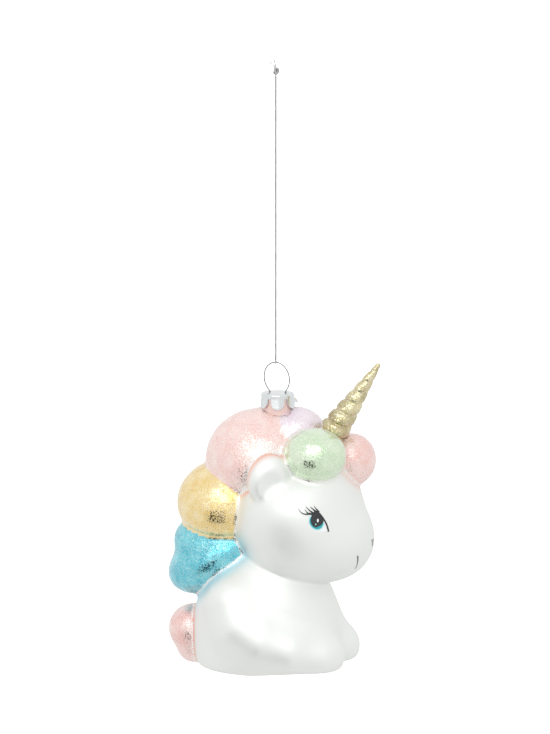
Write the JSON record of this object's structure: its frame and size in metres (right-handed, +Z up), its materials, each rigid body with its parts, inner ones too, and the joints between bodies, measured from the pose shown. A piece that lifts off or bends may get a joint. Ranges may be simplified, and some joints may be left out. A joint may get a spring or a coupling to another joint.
{
  "type": "unicorn ornament",
  "caption": "Sitting unicorn of blown glass with glitter-coated curls, a twisted horn, a metal crown cap, a wire loop and a thread to hang it by.",
  "frame": {"origin": "where the two strands of the thread leave the knot, the point that the ornament hangs from", "axes": "+Z up along the hanging thread, +X the way the animal faces, +Y to the animal's left"},
  "size_m": [0.0782, 0.0476, 0.2173],
  "materials": {
    "cord_knot": "metallic thread",
    "hanging_cord": "metallic thread",
    "hanger_wire": "bright drawn wire",
    "cap": "bright pressed sheet",
    "glass_figure": "pearl satin paint",
    "horn": "gold glitter",
    "crown_glitter": "fine glitter",
    "top_lock_glitter": "fine glitter",
    "right_lock_glitter": "fine glitter",
    "left_lock_glitter": "fine glitter",
    "forelock_glitter": "fine glitter",
    "nape_lock_glitter": "fine glitter",
    "shoulder_lock_glitter": "fine glitter",
    "tail_glitter": "fine glitter"
  },
  "bodies": {
    "knot": {"cord_knot": "cord_knot"},
    "cord": {"hanging_cord": "hanging_cord"},
    "hanger": {"hanger_wire": "hanger_wire"},
    "crown_cap": {"cap": "cap"},
    "figure": {"glass_figure": "glass_figure", "horn": "horn", "crown_glitter": "crown_glitter", "top_lock_glitter": "top_lock_glitter", "right_lock_glitter": "right_lock_glitter", "left_lock_glitter": "left_lock_glitter", "forelock_glitter": "forelock_glitter", "nape_lock_glitter": "nape_lock_glitter", "shoulder_lock_glitter": "shoulder_lock_glitter", "tail_glitter": "tail_glitter"}
  },
  "joints": [
    {"name": "cord_twist", "type": "hinge", "parent": "knot", "child": "cord", "pos_m": [0, 0, 0], "axis": [0, 0, 1], "range_deg": [-180, 180]},
    {"name": "ring_swing", "type": "hinge", "parent": "cord", "child": "hanger", "pos_m": [0, 0, -0.1014], "axis": [1, 0, 0], "range_deg": [-60, 60]},
    {"name": "hanger_tilt", "type": "hinge", "parent": "hanger", "child": "crown_cap", "pos_m": [0.00105, 0, -0.11227], "axis": [1, 0, 0], "range_deg": [-8, 8]},
    {"name": "cap_pull", "type": "slide", "parent": "crown_cap", "child": "figure", "axis": [0, 0, -1], "range_m": [0, 0.016]}
  ]
}
